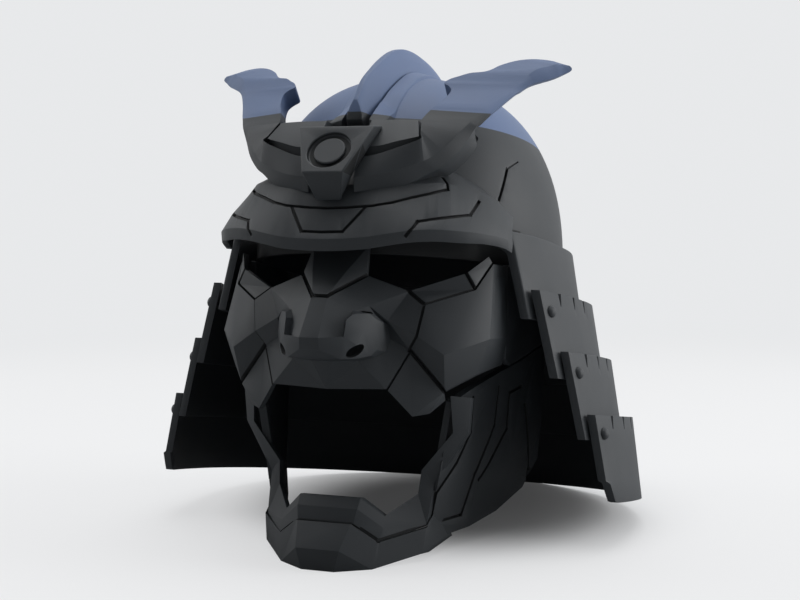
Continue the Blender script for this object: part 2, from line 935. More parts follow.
@dataclass
class NeckGuard:
    """The four stepped rows of the neck guard, with notches and rivets.

    Lengths are in millimetres, upright. The lowest row's bottom edge rises to its front corners.
    """

    shop: Workshop
    centre_y: float = 73.5
    wall: float = 5.0
    height: float = 56.0
    top_z: tuple[float, ...] = (220.0, 183.0, 144.6, 105.0)
    half_width: tuple[float, ...] = (111.2, 127.5, 143.0, 160.0)
    flare: tuple[float, ...] = (11.0, 11.5, 11.0, 9.0)
    half_length: tuple[float, ...] = (130.2, 137.2, 144.2, 151.2)
    rear_flare: float = 1.4
    front_y: tuple[float, ...] = (-18.0, -10.0, 1.0, 10.0)
    front_slope: float = 6.0
    front_power: tuple[float, ...] = (3.2, 3.0, 2.8, 2.5)
    rear_power: float = 2.2
    segments: int = 128
    notch_step: float = 26.2
    notches: int = 3
    notch_width: float = 5.2
    notch_depth: float = 8.5
    notch_reach: float = 4.0
    rivet_radius: float = 4.0
    rivet_rise: float = 3.0
    rivet_drop: float = 13.0
    rivet_inset: float = 8.5
    corner_rise: float = 12.5
    corner_run: float = 9.5

    def edge(self, row: int, low: float, inward: float) -> list[Vector]:
        """Points along one of a row's edges, upright, from one front end to the other.

        Args:
            row: The row, counted from the top one, which is 0.
            low: Zero for its top edge and one for its bottom edge.
            inward: Distance into the wall.

        Returns:
            The points.
        """
        half_width = self.half_width[row] + low * self.flare[row] - inward
        half_length = self.half_length[row] + low * self.rear_flare - inward
        front_y = self.front_y[row] + low * self.front_slope
        power = self.front_power[row]
        start = math.acos(((self.centre_y - front_y) / half_length) ** (0.5 * power))
        points = []
        for step in range(self.segments + 1):
            angle = start + (math.tau - 2.0 * start) * step / self.segments
            shape = power if math.cos(angle) > 0.0 else self.rear_power
            x, y = oval(angle, half_width, half_length, self.centre_y, shape)
            points.append(Vector((x, y, self.top_z[row] - low * self.height)))
        if row == len(self.top_z) - 1 and low == 1.0:
            for path in (list(points), points[::-1]):
                first = path[0].copy()
                for point in path[:self.segments // 8]:
                    left = max(0.0, 1.0 - (point - first).xy.length / self.corner_run)
                    point.z += self.corner_rise * left
        return points

    @staticmethod
    def along(points: Sequence[Vector], distance: float) -> tuple[Vector, Vector]:
        """The place and heading at a distance along a line.

        Args:
            points: The line's points.
            distance: The distance from the first one.

        Returns:
            The place and the unit heading.
        """
        for here, following in zip(points, points[1:]):
            run = (following - here).length
            if distance <= run:
                return here.lerp(following, distance / run), (following - here).normalized()
            distance -= run
        return points[-1], (points[-1] - points[-2]).normalized()

    def notch_seats(self, row: int) -> tuple[list[Vector], list[Vector]]:
        """Where a row's notches go.

        Args:
            row: The row, counted from the top one, which is 0.

        Returns:
            Their places and the directions across the wall, at rest.
        """
        line = self.edge(row, 0.0, 0.5 * self.wall)
        places, across = [], []
        for path in (line, list(reversed(line))):
            for step in range(1, self.notches + 1):
                place, heading = self.along(path, step * self.notch_step)
                places.append(REST.place(tuple(place)))
                across.append(REST.turn((heading.y, -heading.x, 0.0)))
        return places, across

    def rivet_seats(self, row: int) -> tuple[list[Vector], list[Vector]]:
        """Where a row's two rivets go.

        Args:
            row: The row, counted from the top one, which is 0.

        Returns:
            Their places and outward directions, at rest.
        """
        top, low = self.edge(row, 0.0, 0.0), self.edge(row, 1.0, 0.0)
        upper, heading = self.along(top, self.rivet_inset)
        lower = self.along(low, self.rivet_inset)[0]
        out = (lower - upper).cross(heading).normalized()
        out = -out if out.x < 0.0 else out
        seat = upper.lerp(lower, self.rivet_drop / self.height)
        places = [REST.place((side * seat.x, seat.y, seat.z)) for side, _ in SIDES]
        return places, [REST.turn((side * out.x, out.y, out.z)) for side, _ in SIDES]

    def build_row(self, row: int) -> bpy.types.Object:
        """Builds one row with its notches.

        Args:
            row: The row, counted from the top one, which is 0.

        Returns:
            The finished piece.
        """
        name = "neck_row_%d" % (row + 1)
        shares = (0.0, 0.25, 0.5, 0.75, 1.0)
        loops = [self.edge(row, low, 0.0) for low in shares]
        loops += [self.edge(row, low, self.wall) for low in reversed(shares)]
        count, size = self.segments + 1, len(loops)
        points = [REST.stand(tuple(p)) for loop in loops for p in loop]
        faces = [(loop * count + step, loop * count + step + 1,
                  ((loop + 1) % size) * count + step + 1, ((loop + 1) % size) * count + step)
                 for loop in range(size) for step in range(self.segments)]
        for end in (0, self.segments):
            for k in range(len(shares) - 1):
                faces.append((k * count + end, (k + 1) * count + end,
                              (size - 2 - k) * count + end, (size - 1 - k) * count + end))
        item = self.shop.link(name + "_shell", self.shop.mesh(name + "_shell", points, faces))
        if row:
            places, across = self.notch_seats(row)
            wedge = Stamp("notch", Stamp.wedge(0.001 * self.notch_width,
                                               0.001 * self.notch_depth,
                                               0.001 * self.notch_reach * self.wall))
            self.shop.carve(item, [wedge.press(name + "_notches", places, across,
                                               REST.turn((0.0, 0.0, 1.0)))])
        edges = Edges(rim=0.0009, crease=0.0006, crease_angle=30.0)
        return self.shop.complete(item, name, edges, smooth_angle=32.0)

    def build_rivets(self, row: int) -> None:
        """Builds a row's two domed rivets.

        Args:
            row: The row, counted from the top one, which is 0.
        """
        for (_, word), place, facing in zip(SIDES, *self.rivet_seats(row)):
            name = "rivet_%d_%s" % (row + 1, word)
            dome = Stamp("rivet_dome", Stamp.dome(0.001 * self.rivet_radius,
                                                  0.001 * self.rivet_rise))
            item = dome.press(name + "_dome", [place], [facing], None, self.shop.split)
            self.shop.dress(item, smooth_angle=60.0)
            self.shop.hand_over(item, name)

    def build(self) -> None:
        """Builds all the rows and rivets."""
        for row in range(len(self.top_z)):
            self.build_row(row)
            if row:
                self.build_rivets(row)


@dataclass(frozen=True)
class Section:
    """One section of a horn's arm: its inner, ridge and outer front corners, then its depth.

    Lengths are in millimetres, upright. With flat set the depth goes straight back.
    """

    inner: Triple
    ridge: Triple
    outer: Triple
    depth: float
    flat: bool = False


@dataclass
class Crest:
    """The two horns with their arms, and the panels between them and the centre plate.

    A horn's sections go back along two directions, one over it and one under it. Lengths are in
    millimetres, upright.
    """

    shop: Workshop
    parts: int = 4
    back: Triple = (0.0, 0.73, -0.68)
    under: Triple = (-0.35, 0.93, 0.06)
    sections: tuple[Section, ...] = (
        Section((15.5, -82.0, 257.5), (15.5, -87.0, 244.0), (15.5, -84.5, 235.0), 22.0, True),
        Section((28.0, -81.5, 259.3), (28.0, -84.5, 246.0), (30.0, -79.0, 238.0), 22.0, True),
        Section((42.0, -78.5, 264.5), (41.0, -79.0, 249.6), (45.0, -72.0, 241.5), 22.0, True),
        Section((53.8, -75.0, 269.8), (53.8, -73.0, 255.4), (57.5, -64.5, 250.0), 22.0, True),
        Section((52.6, -71.5, 273.6), (60.0, -68.5, 259.8), (64.0, -61.0, 254.3), 22.0, True),
        Section((51.2, -67.5, 278.0), (66.5, -64.0, 266.5), (71.5, -57.0, 263.0), 22.0, True),
        Section((50.2, -64.3, 281.5), (72.8, -58.0, 276.2), (77.0, -52.0, 272.8), 20.0, True),
        Section((49.2, -62.0, 284.3), (77.3, -50.3, 284.5), (81.5, -49.0, 281.8), 17.0),
        Section((50.5, -58.0, 288.5), (79.5, -44.5, 289.8), (84.3, -45.2, 286.0), 15.0),
        Section((52.2, -54.7, 292.0), (81.2, -41.2, 293.2), (86.8, -41.0, 290.5), 14.0),
        Section((54.1, -51.3, 295.6), (83.2, -38.3, 296.5), (89.2, -37.0, 294.3), 13.5),
        Section((57.5, -44.5, 301.3), (88.3, -30.5, 302.8), (94.0, -28.0, 302.5), 13.0),
        Section((59.5, -37.2, 308.2), (93.0, -22.5, 309.3), (98.5, -20.5, 309.5), 13.0),
        Section((57.0, -34.5, 312.0), (95.3, -19.0, 312.6), (100.7, -17.0, 312.0), 13.0),
        Section((53.0, -33.0, 314.5), (97.0, -16.7, 315.5), (102.3, -14.8, 314.0), 12.5),
        Section((55.5, -29.0, 318.0), (99.3, -13.8, 318.5), (104.6, -12.6, 316.2), 12.0),
        Section((60.0, -25.3, 320.5), (101.3, -11.5, 321.2), (106.7, -11.0, 317.6), 12.0),
        Section((66.0, -19.8, 323.8), (103.6, -9.1, 324.7), (109.0, -9.4, 318.8), 11.5),
        Section((73.0, -15.0, 325.5), (106.3, -6.6, 327.5), (111.6, -7.4, 320.0), 11.0),
        Section((77.3, -10.6, 327.8), (108.6, -4.6, 329.1), (113.6, -5.8, 321.0), 10.5),
        Section((82.0, -5.0, 332.0), (111.0, -2.5, 330.2), (115.6, -4.4, 321.8), 10.0),
        Section((90.0, 1.0, 336.0), (114.3, 0.3, 331.7), (118.4, -1.9, 323.3), 9.0),
        Section((98.0, 5.0, 337.9), (117.5, 2.7, 333.3), (121.0, 0.6, 325.0), 8.0),
        Section((106.0, 7.5, 338.1), (120.5, 4.6, 333.2), (123.2, 2.8, 326.6), 6.5),
        Section((114.5, 8.8, 336.9), (123.6, 5.8, 333.2), (125.3, 4.6, 328.0), 4.5),
        Section((121.5, 8.0, 333.7), (126.0, 6.4, 332.9), (126.8, 5.7, 329.0), 2.5),
        Section((126.8, 6.7, 331.0), (127.6, 6.5, 331.4), (127.7, 6.3, 330.0), 1.0),
    )
    panel: tuple[tuple[Triple, Triple, Triple], ...] = (
        ((15.5, -62.0, 285.0), (15.5, -79.8, 264.6), (15.5, -80.0, 256.0)),
        ((24.0, -61.6, 285.0), (27.5, -79.2, 264.8), (28.0, -79.5, 257.5)),
        ((35.0, -61.8, 284.8), (39.5, -77.4, 268.0), (41.0, -76.5, 262.5)),
        ((47.4, -62.6, 284.0), (52.0, -73.0, 271.6), (52.4, -72.0, 269.5)),
    )
    channel: float = 2.6
    channel_rise: float = 1.56
    panel_depth: float = 17.0

    def build_horn(self, side: float, name: str) -> bpy.types.Object:
        """Builds one horn with its arm.

        Args:
            side: 1 for the wearer's left and -1 for the other.
            name: The solid that it stands for.

        Returns:
            The finished piece.
        """
        corners: list[list[Vector]] = [[], [], [], [], []]
        for section in self.sections:
            level = Vector((0.0, section.depth, 0.0))
            above = level if section.flat else Vector(self.back) * section.depth
            below = level if section.flat else Vector(self.under) * section.depth
            inner, ridge, outer = (Vector(p) for p in (section.inner, section.ridge,
                                                       section.outer))
            for line, point in zip(corners, (inner, ridge, outer, outer + below, inner + above)):
                line.append(Vector((side * point.x, point.y, point.z)))
        item = self.shop.tube(name + "_shell", [smooth_line(line, self.parts) for line in corners])
        edges = Edges(rim=0.0010, crease=0.0008, crease_angle=18.0)
        return self.shop.complete(item, name, edges, smooth_angle=26.0, tone=Tone.SLATE)

    def build_panel(self, side: float, name: str) -> bpy.types.Object:
        """Builds the panel beside the centre plate, with the channel under it.

        Args:
            side: 1 for the wearer's left and -1 for the other.
            name: The solid that it stands for.

        Returns:
            The finished piece.
        """
        corners: list[list[Vector]] = [[] for _ in range(6)]
        for top, low, under in self.panel:
            lip = Vector(low) + Vector((0.0, self.channel, self.channel_rise))
            floor = Vector(under) + Vector((0.0, self.channel, 0.0))
            back_low = floor + Vector((0.0, self.panel_depth, 0.0))
            back_top = Vector(top) + Vector((0.0, self.panel_depth, 0.0))
            for line, point in zip(corners, (Vector(top), Vector(low), lip, floor, back_low,
                                             back_top)):
                line.append(Vector((side * point.x, point.y, point.z)))
        item = self.shop.tube(name + "_shell", [smooth_line(line, self.parts) for line in corners])
        edges = Edges(rim=0.0007, crease=0.0005)
        return self.shop.complete(item, name, edges, smooth_angle=26.0)

    def build(self) -> None:
        """Builds both sides of the crest."""
        for side, word in SIDES:
            self.build_horn(side, "horn_" + word)
            self.build_panel(side, "crest_wing_" + word)


@dataclass
class Crown:
    """The fin over the crown and the raised strip on each side of it.

    The fin's stations hold their place, half width, shoulder, ridge and base; the strips' hold
    their place, inner edge, outer edge and base. Lengths are in millimetres, upright, and the
    fin's shoulder and ridge are shares of its half width and rise.
    """

    shop: Workshop
    parts: int = 5
    fin: tuple[tuple[float, float, float, float, float], ...] = (
        (-54.0, 5.5, 290.0, 300.4, 287.3), (-43.0, 6.5, 295.9, 315.5, 274.0),
        (-29.4, 7.5, 305.0, 326.0, 294.5), (-14.9, 8.0, 316.1, 335.8, 309.5),
        (3.0, 8.5, 325.4, 345.6, 321.5), (21.0, 9.0, 332.9, 352.0, 328.8),
        (40.1, 9.0, 337.4, 355.0, 333.0), (61.9, 9.0, 339.5, 355.5, 334.9),
        (86.1, 8.5, 339.5, 354.0, 334.6), (110.0, 8.0, 335.5, 349.0, 331.5),
        (135.1, 7.0, 326.0, 338.0, 322.5), (158.1, 5.0, 310.0, 319.0, 307.0),
        (176.0, 3.0, 284.5, 287.2, 282.0),
    )
    strip: tuple[tuple[float, float, float, float], ...] = (
        (-51.9, 287.5, 285.0, 282.5), (-36.8, 300.1, 293.3, 281.0), (-28.7, 305.7, 298.3, 293.0),
        (-14.0, 316.9, 313.2, 308.0), (12.9, 332.2, 329.3, 324.5), (40.1, 339.4, 336.7, 332.0),
        (75.0, 341.3, 338.8, 334.0), (104.9, 338.7, 336.0, 331.0), (135.1, 329.1, 326.1, 321.5),
        (159.9, 312.2, 308.8, 304.0), (172.6, 290.9, 290.6, 288.0),
    )
    inner: float = 9.5
    outer: float = 19.0
    slant: float = 0.9
    shoulder_in: float = 0.66
    shoulder_up: float = 0.55
    ridge_half: float = 0.25

    def lines(self, sections: Sequence[Sequence[Triple]]) -> list[list[Vector]]:
        """Smooth lines through the corners of sections.

        Args:
            sections: The sections' corners, upright, in the same order in each.

        Returns:
            One line for each corner.
        """
        return [smooth_line([Vector(point) for point in line], self.parts)
                for line in zip(*sections)]

    def finish(self, item: bpy.types.Object, node: str) -> None:
        """Eases one of the crown's pieces and hands it over."""
        edges = Edges(rim=0.0008, crease=0.0005, crease_angle=25.0)
        self.shop.complete(item, node, edges, smooth_angle=24.0, tone=Tone.SLATE)

    def build(self) -> None:
        """Builds the fin and both strips."""
        sections = []
        for y, half, low, high, base in self.fin:
            shoulder = low + self.shoulder_up * (high - low)
            right = [(half, y, base), (half, y, low), (self.shoulder_in * half, y, shoulder),
                     (self.ridge_half * half, y, high)]
            sections.append(right + [(-x, y, z) for x, y, z in reversed(right)])
        self.finish(self.shop.tube("crest_fin_shell", self.lines(sections)), "crest_fin")
        foot = self.outer + self.slant
        for side, word in SIDES:
            sections = [[(side * self.inner, y, base), (side * self.inner, y, top_in),
                         (side * self.outer, y, top_out), (side * foot, y, base + self.slant),
                         (side * foot, y, base)]
                        for y, top_in, top_out, base in self.strip]
            node = "fin_rail_" + word
            self.finish(self.shop.tube(node + "_shell", self.lines(sections)), node)


# The grooves where the mask's plates meet, and the solids that keep their shape but share them.
MASK_HEART = (0.0, -15.0, 150.0)
MASK_JOINTS = tuple(Groove(path, width=0.0030, depth=0.0022, heart=MASK_HEART, joint=True)
                    for path in (
    ((22.0, -71.5, 184.6), (5.1, -93.3, 169.2), (0.0, -93.3, 169.2)),
    ((47.6, -63.2, 176.0), (59.0, -63.5, 167.6), (55.8, -66.2, 147.4), (49.6, -61.6, 138.8),
     (38.7, -70.8, 113.8)),
    ((59.0, -63.5, 167.6), (83.7, -39.4, 179.8), (89.5, -23.5, 198.0)),
    ((83.7, -39.4, 179.8), (77.9, -42.5, 190.0)),
    ((49.6, -61.6, 138.8), (70.4, -52.0, 114.4)),
))
CHIN_JOINT = Groove(((0.0, -66.3, 30.2), (18.6, -66.3, 30.2), (34.2, -57.5, 19.5),
                     (56.5, -32.9, 29.0)),
                    width=0.0026, depth=0.0022, heart=(0.0, -15.0, 28.0), joint=True)
MASK_PLATES = ("brow_plate", "lid_", "tusk_plate")


@dataclass
class Sheet:
    """A faceted plate of the mask, from its front corners and the faces between them.

    Corners are upright and in millimetres, on the wearer's left. The outline's corners are drawn
    first and keep to the solid's own. On a plate across the middle, a face's corner with a minus
    sign is the other side's.
    """

    shop: Workshop
    corners: dict[str, Triple]
    faces: tuple[str, ...]
    outline: int
    across: bool = False
    wall: float = 4.0
    snap: float = 0.004

    def front(self, node: str, keys: Sequence[str], side: float) -> list[Vector]:
        """The front corners at rest, with the outline's moved onto the solid's.

        Args:
            node: The solid.
            keys: The corners' names.
            side: 1 for the drawn side and -1 for the other.

        Returns:
            One place for each name.
        """
        solid = self.shop.copy_of(node, node + "_solid")
        real = [v.co.copy() for v in solid.data.vertices]
        bpy.data.objects.remove(solid)
        held = list(self.corners)[:self.outline]
        places = []
        for key in keys:
            x, y, z = self.corners[key.lstrip("-")]
            point = REST.place((-x * side if key.startswith("-") else x * side, y, z))
            near = min(real, key=lambda other: (other - point).length)
            close = key.lstrip("-") in held and (near - point).length < self.snap
            places.append(near if close else point)
        return places

    def build(self, node: str, side: float = 1.0) -> bpy.types.Object:
        """Builds the closed plate.

        Args:
            node: The solid that it stands for.
            side: 1 for the drawn side and -1 for the other.

        Returns:
            The plate, not yet finished.
        """
        keys = list(self.corners)
        faces = {tuple(face.split()) for face in self.faces}
        if self.across:
            middle = {key for key in keys if self.corners[key][0] == 0.0}
            keys += ["-" + key for key in keys if key not in middle]
            other = {key: key if key in middle else key[1:] if key.startswith("-") else "-" + key
                     for key in keys}
            faces |= {tuple(other[key] for key in reversed(face)) for face in faces
                      if {other[key] for key in face} != set(face)}
        patch = [tuple(keys.index(key) for key in face) for face in sorted(faces)]
        front = self.front(node, keys, side)
        inward = REST.turn((0.0, 0.001 * self.wall, 0.0))
        total = len(front)
        edges = {(a, b) for face in patch for a, b in zip(face, face[1:] + face[:1])}
        walls = [(a, total + a, total + b, b) for a, b in edges if (b, a) not in edges]
        backs = [tuple(total + i for i in reversed(face)) for face in patch]
        points = [Vector((point.x, point.y, max(point.z, 0.0)))
                  for point in front + [point + inward for point in front]]
        name = node + "_shell"
        return self.shop.link(name, self.shop.mesh(name, points, patch + backs + walls))


@dataclass
class Mask:
    """The mask's centre plate with its nose and nostrils, the cheeks, the mouth and the chin."""

    shop: Workshop
    nostril: tuple[Triple, Triple] = ((19.0, -93.5, 133.2), (27.6, -85.4, 140.2))
    nostril_facing: Triple = (0.62, -0.62, -0.48)
    nostril_half_width: float = 3.3
    nostril_depth: float = 8.0

    def nose(self) -> Sheet:
        """The centre plate, with the nose, the inner cheeks and the upper lip.

        Returns:
            Its corners and faces.
        """
        return Sheet(self.shop, across=True, outline=8, corners={
            "eye": (22.0, -71.5, 184.6), "brow": (5.1, -93.3, 169.2), "lid": (47.6, -63.2, 176.0),
            "lid_low": (59.0, -63.5, 167.6), "bend": (55.8, -66.2, 147.4),
            "junction": (49.6, -61.6, 138.8), "lip": (38.7, -70.8, 113.8),
            "mid": (0.0, -75.5, 112.2),
            "ridge": (5.7, -99.8, 155.8), "tip_top": (6.4, -106.3, 142.5),
            "tip": (6.4, -104.5, 135.5), "tip_low": (5.5, -98.0, 130.2),
            "fold_top": (28.2, -80.5, 164.8), "fold": (37.6, -71.8, 156.4),
            "dip_a": (18.0, -94.6, 144.3), "dip_b": (17.6, -92.4, 155.2),
            "dip_c": (21.0, -87.6, 160.8), "dip_d": (30.8, -76.5, 160.0),
            "dip_e": (36.4, -66.0, 154.5), "dip_f": (37.2, -65.0, 145.5),
            "dip_g": (36.0, -67.5, 137.5),
            "arc_a": (20.0, -98.6, 144.3), "arc_b": (20.3, -96.8, 154.8),
            "arc_c": (22.8, -92.2, 158.6), "arc_d": (29.6, -83.4, 159.8),
            "arc_e": (34.2, -76.8, 155.5), "arc_f": (34.9, -75.4, 146.2),
            "arc_g": (33.2, -76.2, 137.9), "arc_h": (30.7, -79.3, 134.0),
            "arc_m": (25.0, -88.3, 131.5), "arc_l": (17.5, -96.2, 130.6),
            "wing": (28.0, -88.0, 150.0), "wing_low": (26.0, -90.5, 139.5),
            "lip_a": (6.0, -86.0, 129.2), "lip_b": (22.0, -79.0, 130.4),
            "lip_c": (31.0, -73.5, 133.5),
        }, faces=(
            "brow eye fold_top", "brow fold_top dip_c", "brow dip_c dip_b ridge",
            "ridge dip_b dip_a tip_top", "brow ridge -ridge -brow",
            "ridge tip_top -tip_top -ridge", "tip_top tip -tip -tip_top",
            "tip tip_low -tip_low -tip", "eye lid fold_top", "lid fold fold_top",
            "lid lid_low bend fold", "fold bend junction", "fold_top fold dip_e dip_d",
            "fold junction dip_f dip_e", "dip_a dip_b arc_b arc_a", "dip_b dip_c arc_c arc_b",
            "dip_c fold_top dip_d arc_d arc_c", "dip_d dip_e arc_e arc_d",
            "dip_e dip_f arc_f arc_e", "dip_f dip_g arc_g arc_f",
            "arc_a arc_b wing", "arc_b arc_c wing", "arc_c arc_d wing", "arc_d arc_e wing",
            "arc_e arc_f wing", "arc_f arc_g wing", "arc_g arc_h wing_low wing",
            "arc_h arc_m wing_low", "arc_m arc_l wing_low", "arc_l arc_a wing_low",
            "arc_a wing wing_low", "tip_top dip_a arc_a", "tip_top arc_a arc_l tip",
            "tip arc_l tip_low", "-tip_low tip_low lip_a -lip_a", "tip_low arc_l lip_b lip_a",
            "arc_l arc_m lip_b", "arc_m arc_h lip_c lip_b", "arc_h arc_g dip_g lip_c",
            "dip_f junction dip_g", "dip_g junction lip lip_c", "lip_c lip lip_b",
            "lip_b lip mid", "lip_a lip_b mid", "lip_a mid -lip_a"))

    def cheek(self) -> Sheet:
        """One cheek.

        Returns:
            Its corners and faces.
        """
        return Sheet(self.shop, outline=7, corners={
            "lid_low": (59.0, -63.5, 167.6), "lid_out": (83.7, -39.4, 179.8),
            "lid_end": (89.5, -23.5, 198.0), "rear_top": (93.5, -8.0, 198.4),
            "low": (70.4, -52.0, 114.4), "junction": (49.6, -61.6, 138.8),
            "bend": (55.8, -66.2, 147.4),
            "rear_mid": (95.0, -6.0, 152.0), "rear_low": (92.0, -6.0, 134.4),
            "turn": (93.5, -36.0, 149.0), "low_mid": (85.0, -33.5, 126.4),
            "ridge": (72.4, -62.4, 136.8),
        }, faces=(
            "lid_low lid_out ridge bend", "lid_end rear_top rear_mid turn",
            "lid_out lid_end turn", "lid_out turn ridge", "turn rear_mid rear_low low_mid",
            "ridge turn low_mid low", "bend ridge low junction"))

    def chin(self) -> Sheet:
        """The chin.

        Returns:
            Its corners and faces.
        """
        return Sheet(self.shop, across=True, outline=0, wall=12.0, corners={
            "top": (18.3, -65.9, 30.2), "dip": (33.8, -57.1, 19.5), "end": (56.5, -32.6, 29.0),
            "end_low": (54.8, -32.1, 11.7), "low": (31.2, -58.7, 0.4),
            "face": (14.7, -75.0, 12.8), "foot": (11.0, -72.5, -0.5), "side": (33.8, -57.1, 8.0),
            "jaw_top": (58.0, -18.0, 40.0), "jaw_low": (61.0, -5.0, 21.0),
        }, faces=(
            "top face -face -top", "face foot -foot -face", "face low foot",
            "face top dip side low", "dip end end_low low side", "end jaw_top jaw_low end_low"))

    def rail(self) -> Sheet:
        """The band round the open mouth, with the lower lip.

        Returns:
            Its corners and faces.
        """
        return Sheet(self.shop, across=True, outline=0, wall=6.0, corners={
            "lip": (20.7, -58.2, 45.3), "lip_mid": (20.4, -62.6, 38.5),
            "lip_low": (19.0, -64.2, 29.5), "dip": (33.8, -49.0, 34.6),
            "dip_mid": (35.0, -53.0, 27.5), "dip_low": (34.5, -55.6, 19.0),
            "rim_a": (48.7, -30.0, 48.7), "end": (55.8, -30.5, 29.5),
            "rim_b": (50.0, -29.0, 64.0), "side_b": (57.6, -24.5, 56.8),
            "rim_c": (70.2, -30.0, 88.8), "side_c": (78.2, -24.0, 89.2),
            "rim_d": (69.2, -36.0, 112.1), "side_d": (80.0, -27.0, 111.6),
        }, faces=(
            "lip lip_mid -lip_mid -lip", "lip_mid lip_low -lip_low -lip_mid",
            "lip_mid lip dip dip_mid", "lip_low lip_mid dip_mid dip_low",
            "dip rim_a end dip_mid", "dip_mid end dip_low",
            "rim_a rim_b side_b end", "rim_b rim_c side_c side_b", "rim_c rim_d side_d side_c"))

    def nostril_cutter(self, side: float) -> bpy.types.Object:
        """An oval body that hollows one nostril.

        Args:
            side: 1 for the wearer's left and -1 for the other.

        Returns:
            The cutter.
        """
        low, high = (REST.place((side * x, y, z)) for x, y, z in self.nostril)
        x, y, z = self.nostril_facing
        along = (high - low).normalized()
        across = along.cross(REST.turn((side * x, y, z))).normalized()
        out = across.cross(along)
        work = bmesh.new()
        bmesh.ops.create_icosphere(work, subdivisions=3, radius=1.0)
        for vert in work.verts:
            a, b, c = vert.co
            vert.co = (low.lerp(high, 0.5) + along * (a * 0.5 * (high - low).length)
                       + across * (b * 0.001 * self.nostril_half_width)
                       + out * (c * 0.001 * self.nostril_depth))
        if work.calc_volume(signed=True) < 0.0:
            bmesh.ops.reverse_faces(work, faces=work.faces)
        mesh = bpy.data.meshes.new("nostril")
        work.to_mesh(mesh)
        work.free()
        return self.shop.link("nostril_%d" % side, mesh)

    def finish(self, item: bpy.types.Object, node: str, sides: Sequence[float],
               smooth_angle: float, joints: Sequence[Groove] = MASK_JOINTS) -> None:
        """Cuts the joints along a plate's edges and completes it.

        Args:
            item: The plate.
            node: The solid that it stands for.
            sides: The sides whose joints it touches.
            smooth_angle: Edges flatter than this are shaded smooth, in degrees.
            joints: The joints that it may touch.
        """
        self.shop.engrave(item, joints, sides)
        self.shop.complete(item, node, Edges(rim=0.0007, crease=0.0004), smooth_angle)

    def build(self) -> None:
        """Builds the centre plate, the chin, the band round the mouth and both cheeks."""
        nose = self.nose().build("nose_plate")
        self.shop.carve(nose, [self.nostril_cutter(1.0), self.nostril_cutter(-1.0)], True)
        self.finish(nose, "nose_plate", (1.0, -1.0), smooth_angle=20.0)
        for node, sheet in (("chin_guard", self.chin()), ("mouth_rail", self.rail())):
            self.finish(sheet.build(node), node, (1.0, -1.0), smooth_angle=20.0,
                        joints=(CHIN_JOINT,))
        for side, word in SIDES:
            node = "cheek_plate_" + word
            self.finish(self.cheek().build(node, side), node, (side,), smooth_angle=29.0)


